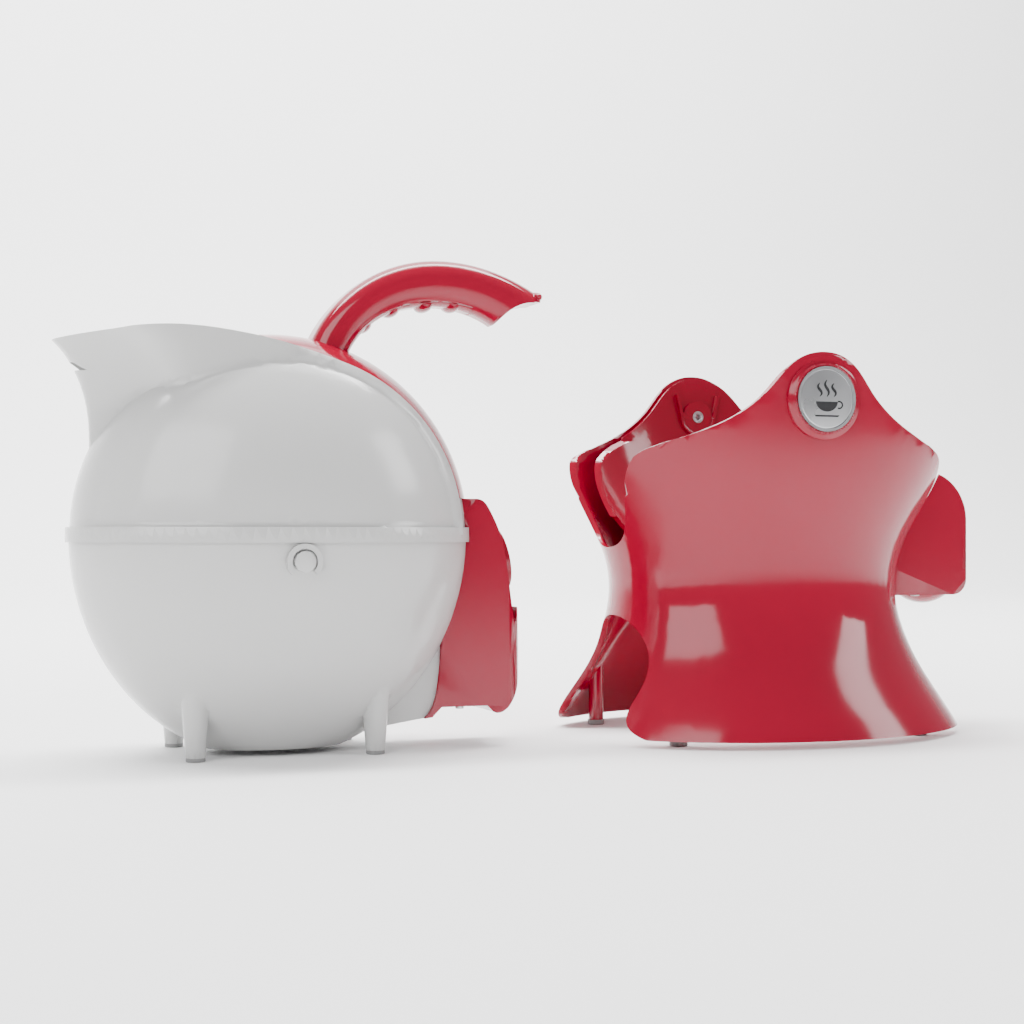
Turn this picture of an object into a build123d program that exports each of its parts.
from build123d import *
import math
import os

# Tilting kettle and its pouring cradle. Millimetres, +Z up, spout towards -X.
# Origin: centre of the whole object's footprint, at table level.

# ---- driving dimensions ----
kettle_x = -148.0        # jug's centre line
hub_x = 126.0            # cradle's centre line
wall = 2.2               # moulded wall of the jug
gap = 0.4                # clearance of moving trim

body_z = 109.7           # height of the jug's widest level
body_a = 101.5           # half length of the jug
dome_a = 101.0           # half length and height of its upper half
body_b = 68.0            # half width of the jug
bowl_c = 114.0           # depth of the full bowl below body_z
bowl_floor_z = 3.0       # flat underside
band_low_z = 106.0
band_top_z = 113.5
band_proud = 1.6

leg_x = 45.0
leg_y = 32.0
leg_top_r = 6.3
leg_foot_r = 4.75
pad_h = 2.0
gasket_t = 0.8           # squashed seal between bowl and upper shell

ridge_w = 36.0           # half width of the raised ridge that becomes the beak
ridge_r = 90.0           # its radius over the back of the jug
spine_r = 101.7          # crest of the red spine
spine_w = 33.0
spine_lift = 0.3         # edge of the spine above the ridge
spine_front_x = -8.0
housing_top_z = 128.4

trunnion_z = 97.0
disc_r = 5.0
ring_in_r = 6.15
ring_out_r = 8.6
ring_in_y = 68.3
ring_out_y = 70.8

lid_front_x = -52.0
lid_back_x = -14.6
lid_pin_x = -13.0
lid_pin_z = 204.6
lid_pin_r = 1.2
lid_barrel_r = 2.3

handle_x = 88.3          # centre of the tail's bend
grip_seat_r = 58.8       # the grip strip is let in up to this radius
grip_w = 9.0
rib_h = 3.8
plate_z = 17.0           # bowl's inner floor web
plate_r = 31.0

housing_w = 21.0
switch_x = 120.6
switch_z = 97.0
switch_tilt = 11.4       # degrees that the rear face leans
rocker_r = 13.5
pin_play = 0.08          # radial play of a hinge pin in its bore
bezel_r = 17.0
barrel_x = 116.6         # connector barrel across the housing's foot
barrel_z = 21.6
barrel_r = 5.2
core_r = 3.7

shell_t = 3.0
shell_low_z = 4.0
liner_t = 2.5
hub_z = 180.3
screw_r = 3.5
badge_r = 17.0
boss_r = 21.0
boss_y = 81.2
post_x = 72.4
post_y = 55.1
post_r = 4.2
tip_r = 4.75

box_w = 24.0
box_front_x = 76.0
box_back_x = 125.0
box_low_z = 75.5
box_step_z = 90.0
box_top_z = 146.0
box_round = 28.0         # upper rear corner
box_wall = 2.5
boss_z = 117.0           # round boss on the power box's back
back_boss_r = 14.5
back_boss_t = 5.6
inlet_x = 111.0          # cord inlet under the power box

# plan sections of the cradle: height, half length, half width
shell_plan = ((-4, 123, 98.5), (4, 119, 95), (22, 107, 86), (48, 92, 71), (80, 84, 62),
              (112, 93, 66), (150, 115, 75.5), (182, 120, 78.4), (212, 120, 79))
# and of the liner inside it
liner_plan = ((99, 68, 47.0), (108, 75.5, 52.5), (125, 88.5, 61.0), (150, 101, 69.0), (182, 107, 73.8),
              (212, 107, 74.6))


# ---- helpers ----
def tube_y(x, z, radius, y_from, y_to):
    """Round bar along Y."""
    length = y_to - y_from
    return Pos(x, (y_from + y_to) / 2, z) * Rot(90, 0, 0) * Cylinder(radius, length)


def block(x0, x1, y0, y1, z0, z1):
    return Pos((x0 + x1) / 2, (y0 + y1) / 2, (z0 + z1) / 2) * Box(x1 - x0, y1 - y0, z1 - z0)


def disc_z(x, y, radius, z0, z1):
    return Pos(x, y, (z0 + z1) / 2) * Cylinder(radius, z1 - z0)


def side_profile(outline, half_width):
    """Solid with a side outline in XZ, as wide as twice half_width."""
    face = Plane.XZ * make_face(outline)
    return extrude(face, amount=half_width, both=True)


def ellipsoid(a, b, c):
    return Pos(0, 0, body_z) * scale(Sphere(1), by=(a, b, c))


def jug_place(shape):
    return Pos(kettle_x, 0, 0) * shape


def cradle_place(shape):
    return Pos(hub_x, 0, 0) * shape


def both_sides(shape):
    return [shape, mirror(shape, about=Plane.XZ)]


# ---- jug: outer and inner forms ----
def bowl_form(inset):
    form = ellipsoid(body_a - inset, body_b - inset, bowl_c - inset)
    return form & block(-120, 120, -80, 80, bowl_floor_z, body_z)


def dome_form(inset):
    form = ellipsoid(dome_a - inset, body_b - inset, dome_a - inset)
    return form & block(-120, 120, -80, 80, body_z, body_z + 130)


def beak_section(z, nose_x, inset):
    """Level slice of the ridge: a rounded nose that widens to the full ridge."""
    nose = nose_x + inset * 1.6
    wide = ridge_w - inset
    side = Spline((nose, 0), (nose + 5, 0.2 * wide), (nose + 32, 0.62 * wide), (-12, wide),
                  tangents=((0, 1), (1, 0.02)))
    back = Line((-12, wide), (104, wide))
    upper = side + back
    outline = upper + mirror(upper, about=Plane.XZ) + Line((104, wide), (104, -wide))
    return Pos(0, 0, z) * make_face(outline)


def rim_outline(inset):
    """Side outline: rim line of the beak, round the back of the ridge and home under the dome."""
    radius = ridge_r - inset
    turn_x = 30 * radius / ridge_r
    turn_z = body_z + math.sqrt(radius ** 2 - turn_x ** 2)
    top = Spline((-126, 200.5 - inset), (-110, 204.8 - inset), (-83.7, 209.0 - inset),
                 (-52, 211.2 - inset), (-22, 208.3 - inset), (turn_x, turn_z),
                 tangents=((1, 0.3), (0.943, -0.333)))
    back = ThreePointArc((turn_x, turn_z), (radius * 0.8, body_z + radius * 0.6), (radius, body_z))
    base = Line((radius, body_z), (-126, body_z))
    front = Line((-126, body_z), (-126, 200.5 - inset))
    return top + back + base + front


def ridge_form(inset):
    noses = ((108, -86), (140, -90.5), (158, -91.8), (172, -93), (184, -96.2), (195, -101.5),
             (205, -109.7), (220, -124))
    loft_form = loft([beak_section(z, nose, inset) for z, nose in noses])
    return loft_form & side_profile(rim_outline(inset), 60)


def band_form():
    ring = Pos(0, 0, band_low_z) * Ellipse(body_a + band_proud, body_b + band_proud)
    return extrude(ring, amount=band_top_z - band_low_z)


def top_cutter(inset, x_from, x_to):
    """Upright prism with the plan of the beak's rim, between two stations."""
    plan = beak_section(0, -109.0, inset)
    prism = Pos(0, 0, 190) * extrude(plan, amount=40)
    return prism & block(x_from, x_to, -60, 60, 150, 240)


# ---- jug: parts ----
def legs():
    parts = []
    for x in (-leg_x, leg_x):
        for y in (-leg_y, leg_y):
            height = 40
            parts.append(Pos(x, y, pad_h + height / 2) * Cone(leg_foot_r, leg_top_r + 2, height))
    return parts


def lower_bowl():
    outer = bowl_form(0)
    shell = outer - bowl_form(wall)
    web = bowl_form(wall / 2) & block(-120, 120, -80, 80, plate_z - wall, plate_z)
    shell = shell + (web - disc_z(0, 0, plate_r, 0, 40))
    for leg in legs():
        shell = shell + (leg - outer)
    opening = extrude(Ellipse(30, 18), amount=bowl_floor_z + wall + 1)
    return shell - opening - block(-120, 120, -80, 80, body_z - gasket_t, body_z + 1)


def base_cover():
    return extrude(Ellipse(29.8, 17.8), amount=wall).moved(Location((0, 0, bowl_floor_z)))


def base_screws():
    return [disc_z(x, 0, 2.0, bowl_floor_z - 1.2, bowl_floor_z) for x in (-20, 0, 20)]


def leg_pads():
    return [disc_z(x, y, leg_foot_r, 0, pad_h) for x in (-leg_x, leg_x) for y in (-leg_y, leg_y)]


def plate_seal():
    return disc_z(0, 0, plate_r + 3, plate_z, plate_z + 2) - disc_z(0, 0, plate_r - 3, 0, 40)


def element_plate():
    return disc_z(0, 0, plate_r + 2, plate_z + 2, plate_z + 3.2)


def heating_element():
    return Pos(0, 0, plate_z - 2.0) * Torus(21, 4.0)


def bowl_gasket():
    ring = bowl_form(0) - bowl_form(wall)
    return ring & block(-120, 120, -80, 80, body_z - gasket_t, body_z)


def upper_shell():
    outer = dome_form(0) + ridge_form(0) + band_form()
    inner = dome_form(wall) + ridge_form(wall)
    skirt_room = ellipsoid(body_a + 0.05, body_b + 0.05, bowl_c) & block(
        -120, 120, -80, 80, band_low_z - 1, body_z)
    shell = outer - inner - skirt_room
    shell = shell - top_cutter(5.0, -130, -10.2)
    return shell - lid_hinge_pin()


def jug_outside():
    """Everything the jug's mouldings fill, used to trim what is mounted on them."""
    return bowl_form(0) + dome_form(0) + ridge_form(0) + band_form()


def crown_form(width, crest, seat):
    """Band with a crowned section, turned about the jug's cross axis."""
    arc = ThreePointArc((seat, -width), (crest, 0), (seat, width))
    chord = Line((seat, width), (seat - 12, width))
    inner = Line((seat - 12, width), (seat - 12, -width))
    outline = arc + chord + inner + Line((seat - 12, -width), (seat, -width))
    section = make_face(outline)
    ring = revolve(section, axis=Axis.Y, revolution_arc=360)
    return Pos(0, 0, body_z) * ring


def spine_form():
    return crown_form(spine_w, spine_r, ridge_r + spine_lift)


def spine_cover(outside):
    keep = block(spine_front_x, 110, -50, 50, housing_top_z, 230)
    return (spine_form() & keep) - outside


def handle_section(angle, radius, thick, wide, centre_z):
    """Oval slice of the tail, at an angle from straight up (degrees, positive towards +X)."""
    turn = math.radians(angle)
    x = handle_x + radius * math.sin(turn)
    z = centre_z + radius * math.cos(turn)
    plane = Plane(origin=(x, 0, z), x_dir=(0, 1, 0), z_dir=(math.cos(turn), 0, -math.sin(turn)))
    return plane * RectangleRounded(wide, thick, min(wide, thick) * 0.46)


def tail_form():
    near = [handle_section(a, 77 - t / 2, t, w, 176.3)
            for a, t, w in ((-78, 21, 31), (-64, 20, 29), (-48, 20, 28), (-30, 21.5, 28), (-12, 23.5, 28))]
    far = [handle_section(a, 103 - t / 2, t, w, 150.4)
           for a, t, w in ((4, 24.5, 28), (14, 25.5, 28), (24, 27.5, 29), (34, 30, 30), (44, 33, 32))]
    return loft(near + far)


def end_cut():
    """Scoops out the tail's end and removes what lies beyond it."""
    scoop = tube_y(137.5, 209.0, 23.5, -40, 40)
    below = block(114.5, 190, -40, 40, 150, 209)
    return scoop + below + block(137.5, 190, -40, 40, 150, 233) + block(141.5, 190, -40, 40, 150, 260)


def tail_handle(outside):
    form = tail_form() - end_cut()
    lip = Pos(140.6, 0, 236.2) * scale(Sphere(1), by=(4.0, 13.0, 3.3))
    form = form + lip
    return form - spine_form() - outside - grip_strip_form()


def grip_strip_form():
    """Strip of the tail's underside that carries the finger ribs."""
    under = tube_y(handle_x, 176.3, grip_seat_r, -grip_w, grip_w)
    return tail_form() & under & block(42, 104, -grip_w, grip_w, 185, 300)


def grip_strip():
    strip = grip_strip_form()
    for angle, bottom in ((-44.7, 55.0), (-27.8, 53.2), (-9.2, 50.5), (6.7, 50.8)):
        turn = math.radians(angle)
        reach = bottom + rib_h
        rib = Pos(handle_x + reach * math.sin(turn), 0, 176.3 + reach * math.cos(turn))
        rib = rib * Rot(0, angle, 0) * scale(Sphere(1), by=(4.6, grip_w, rib_h))
        strip = strip + (rib - tail_form())
    return strip


def housing_front():
    """Seam between the white fairing and the red housing."""
    return Spline((74.5, 15.4), (78.6, 20.5), (81.3, 29.3), (83.4, 50), (84, 62))


def housing_face():
    edge = (Line((60, housing_top_z), (102, housing_top_z))
            + Spline((102, housing_top_z), (109.2, 123.5), (113.6, 114.9), (119.5, 91.2), (124.6, 64.8),
                     (127.2, 43.7), tangents=((1, 0), (0.03, -1)))
            + ThreePointArc((127.2, 43.7), (126.1, 31.0), (120.5, 20.4))
            + ThreePointArc((120.5, 20.4), (117.4, 17.9), (113.5, 17))
            + Line((113.5, 17), (108.5, 21)) + Line((108.5, 21), (83.5, 21))
            + Line((83.5, 21), (78.5, 15.9)) + Line((78.5, 15.9), (74.5, 15.4))
            + housing_front()
            + Line((84, 62), (60, 62)) + Line((60, 62), (60, housing_top_z)))
    return make_face(edge)


def housing_form():
    side = extrude(Plane.XZ * housing_face(), amount=housing_w, both=True)
    plan = Pos(65, 0, 0) * RectangleRounded(125.6, 2 * housing_w + 0.02, 8)
    return side & extrude(plan, amount=140)


def housing_room():
    """Hollow of the housing: where it overlaps copies of itself moved in by a wall."""
    form = housing_form()
    room = Pos(-wall, 0, 0) * form & Pos(0, 0, wall) * form & Pos(0, 0, -wall) * form
    return room & block(84.5, 130, wall - housing_w, housing_w - wall, 15, 128)


def switch_plane():
    lean = math.radians(switch_tilt)
    return Plane(origin=(switch_x, 0, switch_z), x_dir=(0, 1, 0), z_dir=(math.cos(lean), 0, math.sin(lean)))


def switch_disc(radius, low, high):
    return switch_plane() * Pos(0, 0, (low + high) / 2) * Cylinder(radius, high - low)


def rear_housing(outside):
    form = housing_form() - outside - housing_room()
    form = form - block(88, 121, -16, 16, 10, 24) - tube_y(barrel_x, barrel_z, barrel_r, -15.5, 15.5)
    return form - switch_disc(bezel_r, -12, 10)


def neck_fairing(outside):
    outline = Polyline((84, 62), (50, 62), (50, 11.5), (57, 12.7), (74.5, 15.4)) + housing_front()
    return side_profile(outline, housing_w - 3) - outside


def switch_bezel():
    return switch_disc(bezel_r, -8, 1.8) - switch_disc(rocker_r + gap, -20, 20)


def rocker_form():
    dome = switch_plane() * Pos(0, 0, -30.5) * Sphere(34.0)
    return switch_disc(rocker_r, -2.6, 5) & dome


def lens_cutter():
    return switch_plane() * Pos(0, 14.5, 0) * Box(40, 17, 40)


def power_rocker():
    return rocker_form() - lens_cutter() - rocker_pin(pin_play)


def indicator_lens():
    return rocker_form() & lens_cutter()


def rocker_pin(grow=0.0):
    reach = rocker_r + gap + 1.5
    return tube_y(switch_x, switch_z, 0.9 + grow, -reach, reach)


def connector_barrel():
    return tube_y(barrel_x, barrel_z, barrel_r, -15.5, 15.5) - tube_y(barrel_x, barrel_z, core_r, -20, 20)


def connector_core():
    return tube_y(barrel_x, barrel_z, core_r, -13.5, 13.5)


def thermostat_control():
    return block(90, 110, -13, 13, 29, 52)


def steam_tube():
    low = (99.5, 0, 56)
    route = FilletPolyline(low, (99.5, 0, 70), (105.5, 0, 84), (105.5, 0, 103), radius=12)
    profile = Plane(origin=low, z_dir=(0, 0, 1)) * Circle(3.2)
    bore = Plane(origin=low, z_dir=(0, 0, 1)) * Circle(2.0)
    return sweep(profile - bore, path=route)


def pivot_discs():
    disc = tube_y(0, trunnion_z, disc_r, -71.6, -60) - bowl_form(0) - band_form()
    return both_sides(disc)


def trunnion_rings():
    ring = tube_y(0, trunnion_z, ring_out_r, -ring_out_y, -ring_in_y)
    ring = ring - tube_y(0, trunnion_z, ring_in_r, -80, -60)
    mouth = Polyline((0, trunnion_z), (14, trunnion_z - 14), (-14, trunnion_z - 14), close=True)
    ring = ring - side_profile(mouth, 90)
    return both_sides(ring)


def lid_hinge_pin():
    return tube_y(lid_pin_x, lid_pin_z, lid_pin_r, -33.2, 33.2)


def lid():
    plan = top_cutter(5.0 + gap, lid_front_x, lid_back_x)
    rim_side = side_profile(rim_outline(1.0), 60)
    rim_under = side_profile(rim_outline(1.0 + wall), 60)
    plate = plan & (rim_side - rim_under)
    for side in (-1, 1):
        y_in, y_out = side * 8, side * 24
        low, high = min(y_in, y_out), max(y_in, y_out)
        knuckle = tube_y(lid_pin_x, lid_pin_z, lid_barrel_r, low, high)
        arm = block(lid_back_x - 1.5, lid_pin_x, low, high, lid_pin_z - 1.2, lid_pin_z + 1.2)
        plate = plate + knuckle + arm
    return plate - tube_y(lid_pin_x, lid_pin_z, lid_pin_r + pin_play, -40, 40)


def lid_tab():
    tab = Pos(-43.5, 0, 208.4) * scale(Sphere(1), by=(4.5, 8.0, 3.6))
    return tab - side_profile(rim_outline(1.0), 60)


def lid_seal():
    outer = top_cutter(6.4, lid_front_x + 1.4, lid_back_x - 1.4)
    inner = top_cutter(8.4, lid_front_x + 3.4, lid_back_x - 3.4)
    layer = side_profile(rim_outline(1.0 + wall), 60) - side_profile(rim_outline(2.6 + wall), 60)
    return ((outer - inner) & layer) - lid()


def housing_screws():
    return [disc_z(94, y, 2.2, 19.6, 21) for y in (-18.2, 18.2)]


# ---- cradle ----
def plan_loft(sections, inset, z_low, z_high):
    faces = [Pos(0, 0, z) * Ellipse(a - inset, b - inset) for z, a, b in sections]
    return loft(faces) & block(-150, 150, -120, 120, z_low, z_high)


def lobe_outline(drop):
    """Side outline of a wall's upper edge: round lobe over the hub, out to the wing tips."""
    flank = ((0, 205), (10, 203.3), (20, 197), (31, 184.5), (45, 172.8), (60, 165), (76, 159), (86, 155.3))
    right = (Spline([(x, z - drop) for x, z in flank], tangents=((1, 0), (1, -0.42)))
             + ThreePointArc((86, 155.3 - drop), (93.4 - drop / 2, 150.2 - drop / 2), (96.5 - drop, 142))
             + Line((96.5 - drop, 142), (92 - drop, 131))
             + Line((92 - drop, 131), (130, 60)) + Line((130, 60), (130, -10)))
    return right + mirror(right, about=Plane.YZ) + Line((130, -10), (-130, -10))


def lobe_form(drop):
    return side_profile(lobe_outline(drop), 120)


def saddle_cut():
    """U-shaped opening from front to back, between the two walls."""
    right = (Spline((0, 103), (16, 107), (26, 119), (33, 131.5), (37.5, 140), (44, 150), (53, 158),
                    tangents=((1, 0), (1, 0.85)))
             + Line((53, 158), (62, 165)) + Line((62, 165), (62, 230)))
    outline = right + mirror(right, about=Plane.YZ) + Line((62, 230), (-62, 230))
    return extrude(Plane.YZ * make_face(outline), amount=160, both=True)


def arch_cut():
    """Arches under the shell; the front one flares out into rounder corners."""
    front = Spline((0, 66), (22, 60), (34, 48.7), (42.1, 28.5), (43.7, 16.7), (48.8, 9.5), (57, 5), (70, 3.4),
                   tangents=((1, 0), (1, -0.05)))
    rear = Spline((0, 66), (22, 60), (36, 45), (41, 28), (42.5, 12), (49, 3), tangents=((1, 0), (1, -0.5)))
    faces = []
    for right, y_end, z_end in ((front, 70, 3.4), (rear, 49, 3)):
        foot = Line((y_end, z_end), (y_end, -2))
        half = right + foot
        outline = half + mirror(half, about=Plane.YZ) + Line((y_end, -2), (-y_end, -2))
        faces.append(Plane.YZ * make_face(outline))
    return extrude(faces[0], amount=-160) + extrude(faces[1], amount=160)


def shell_outside():
    return plan_loft(shell_plan, 0, shell_low_z, 210)


def shell_inside():
    return plan_loft(shell_plan, shell_t, -3, 211)


def outer_shell():
    shell = shell_outside() - shell_inside()
    return (shell & lobe_form(0)) - saddle_cut() - arch_cut()


def liner_inside():
    return plan_loft(liner_plan, liner_t, 99, 211)


def liners():
    """Inner walls that follow the jug, with a floor web out to the shell."""
    web = shell_inside() & block(-150, 150, -120, 120, 100, 100 + liner_t)
    skin = (plan_loft(liner_plan, 0, 100, 210) + web) - liner_inside()
    skin = (skin & lobe_form(1.6)) - saddle_cut() - block(-150, 150, -30, 30, 90, 120)
    skin = (skin & shell_inside()) - tube_y(0, hub_z, screw_r, -90, 90)
    near = skin & block(-150, 150, -120, 0, 90, 220)
    far = skin & block(-150, 150, 0, 120, 90, 220)
    return near, far


def guide_outline(grow):
    """U of the hub guide in side view: half round below, flaring open upwards."""
    radius = 9.4 + grow
    top_x = 12.6 + grow
    bowl = ThreePointArc((-radius, hub_z), (0, hub_z - radius), (radius, hub_z))
    right = Line((radius, hub_z), (top_x, hub_z + 14))
    left = Line((-radius, hub_z), (-top_x, hub_z + 14))
    return bowl + right + left + Line((-top_x, hub_z + 14), (top_x, hub_z + 14))


def hub_guides():
    ring = side_profile(guide_outline(2.0), 90) - side_profile(guide_outline(0), 95)
    boss = tube_y(0, hub_z, 9.4, -90, 90) - tube_y(0, hub_z, screw_r, -95, 95)
    near_rib = ring & block(-30, 30, -90, -68.6, 100, hub_z + 13)
    near_pad = boss & block(-30, 30, -90, -69.4, 100, 220)
    guide = (near_rib + near_pad) & liner_inside()
    return both_sides(guide)


def hub_screws():
    screw = tube_y(0, hub_z, screw_r, -74.6, -69.0) - tube_y(0, hub_z, 1.7, -72, -60)
    return both_sides(screw)


def badge_bosses():
    boss = tube_y(0, hub_z, boss_r, -boss_y + 1.6, -60) + tube_y(0, hub_z, boss_r - 2.2, -boss_y, -60)
    boss = boss - shell_outside() - tube_y(0, hub_z, badge_r, -95, -boss_y + 1.4)
    return both_sides(boss & block(-40, 40, -100, -70, 150, 210))


def badge_discs():
    return both_sides(tube_y(0, hub_z, badge_r - 1.4, -boss_y - 0.4, -boss_y + 1.4))


def badge_bezels():
    ring = tube_y(0, hub_z, badge_r, -boss_y - 0.8, -boss_y + 1.4)
    return both_sides(ring - tube_y(0, hub_z, badge_r - 1.4, -95, -60))


def foot_posts():
    parts = []
    for x in (-post_x, post_x):
        for y in (-post_y, post_y):
            parts.append(disc_z(x, y, post_r, 3.0, 60) & shell_inside())
    return parts


def foot_tips():
    return [disc_z(x, y, tip_r, 0, 3.0) for x in (-post_x, post_x) for y in (-post_y, post_y)]


def box_side_face():
    corner_x = box_back_x - box_round
    corner_z = box_top_z - box_round
    diagonal = box_round * math.sqrt(0.5)
    outline = (Line((box_front_x, box_top_z), (corner_x, box_top_z))
               + ThreePointArc((corner_x, box_top_z), (corner_x + diagonal, corner_z + diagonal),
                               (box_back_x, corner_z))
               + Line((box_back_x, corner_z), (box_back_x, box_low_z + 9))
               + ThreePointArc((box_back_x, box_low_z + 9), (box_back_x - 2.6, box_low_z + 2.6),
                               (box_back_x - 9, box_low_z))
               + Line((box_back_x - 9, box_low_z), (box_front_x, box_low_z))
               + Line((box_front_x, box_low_z), (box_front_x, box_top_z)))
    return make_face(outline)


def box_form():
    return extrude(Plane.XZ * box_side_face(), amount=box_w, both=True)


def power_box_tray():
    tray = box_form() & block(0, 200, -60, 60, 0, box_step_z)
    room = block(box_front_x - 1, box_back_x - 5, -box_w + box_wall, box_w - box_wall,
                 box_low_z + box_wall, box_step_z - 3)
    tray = tray - room - shell_outside()
    return tray - disc_z(106, 0, 12, box_step_z - 5, box_step_z + 5)


def power_box_walls():
    walls = box_form() & block(0, box_back_x - 3, -60, 60, box_step_z, 200)
    room = block(0, 200, -box_w + box_wall, box_w - box_wall, 0, 200)
    return list((walls - room - shell_outside()).solids())


def power_box_back():
    plate = box_form() & block(box_back_x - 3, 200, -60, 60, box_step_z, 200)
    boss = Pos(box_back_x, 0, boss_z) * Rot(0, 90, 0) * Cylinder(back_boss_r, 2 * back_boss_t)
    rim = [edge for edge in boss.edges().filter_by(GeomType.CIRCLE) if edge.center().X > box_back_x + 1]
    boss = fillet(rim, back_boss_t * 0.7) & block(box_back_x - 3, 200, -60, 60, 0, 200)
    room = Pos(box_back_x, 0, boss_z) * Rot(0, 90, 0) * Cylinder(back_boss_r - 4, 2 * back_boss_t - 5)
    return plate + boss - room


def cord_inlet_cap():
    ball = Pos(inlet_x, 0, 91) * Sphere(21)
    return ball & disc_z(inlet_x, 0, 20, 60, box_low_z)


def socket_block():
    block_form = disc_z(106, 0, 11.6, box_low_z + box_wall, box_step_z + 4)
    return block_form - disc_z(106, 0, 4.4, box_step_z - 6, box_step_z + 9)


def contact_pins():
    return [disc_z(106, y, 1.2, box_step_z - 6, box_step_z + 1) for y in (-2.4, 2.4)]


def box_screws():
    return [disc_z(94, y, 2.4, box_low_z - 0.8, box_low_z) for y in (-19, 19)]


# ---- build and write ----
def write(name, shape):
    if isinstance(shape, (list, tuple)):
        shape = Compound(children=list(shape))
    export_step(shape, f"parts/{name}.step")


def write_jug():
    outside = jug_outside()
    single = {
        "lower_bowl": lower_bowl(), "base_cover": base_cover(), "plate_seal": plate_seal(),
        "element_plate": element_plate(), "heating_element": heating_element(),
        "bowl_gasket": bowl_gasket(), "upper_shell": upper_shell(),
        "spine_cover": spine_cover(outside), "tail_handle": tail_handle(outside),
        "grip_strip": grip_strip(), "rear_housing": rear_housing(outside),
        "neck_fairing": neck_fairing(outside), "switch_bezel": switch_bezel() - rocker_pin(),
        "rocker_pin": rocker_pin(),
        "power_rocker": power_rocker(), "indicator_lens": indicator_lens(),
        "connector_barrel": connector_barrel(), "connector_core": connector_core(),
        "thermostat_control": thermostat_control(), "steam_tube": steam_tube(),
        "lid_hinge_pin": lid_hinge_pin(), "lid": lid(), "lid_tab": lid_tab(), "lid_seal": lid_seal(),
    }
    grouped = {
        "base_screws": base_screws(), "leg_pads": leg_pads(), "pivot_discs": pivot_discs(),
        "trunnion_rings": trunnion_rings(), "housing_screws": housing_screws(),
    }
    for name, shape in single.items():
        write(name, jug_place(shape))
    for name, group in grouped.items():
        write(name, [jug_place(shape) for shape in group])


def write_cradle():
    near, far = liners()
    single = {
        "outer_shell": outer_shell(), "liner_near": near, "liner_far": far,
        "power_box_tray": power_box_tray(), "power_box_back": power_box_back(),
        "cord_inlet_cap": cord_inlet_cap(), "socket_block": socket_block(),
    }
    grouped = {
        "hub_guides": hub_guides(), "hub_screws": hub_screws(), "badge_bosses": badge_bosses(),
        "badge_discs": badge_discs(), "badge_bezels": badge_bezels(), "foot_posts": foot_posts(),
        "foot_tips": foot_tips(), "power_box_walls": power_box_walls(),
        "contact_pins": contact_pins(), "box_screws": box_screws(),
    }
    for name, shape in single.items():
        write(name, cradle_place(shape))
    for name, group in grouped.items():
        write(name, [cradle_place(shape) for shape in group])


os.makedirs("parts", exist_ok=True)
write_jug()
write_cradle()
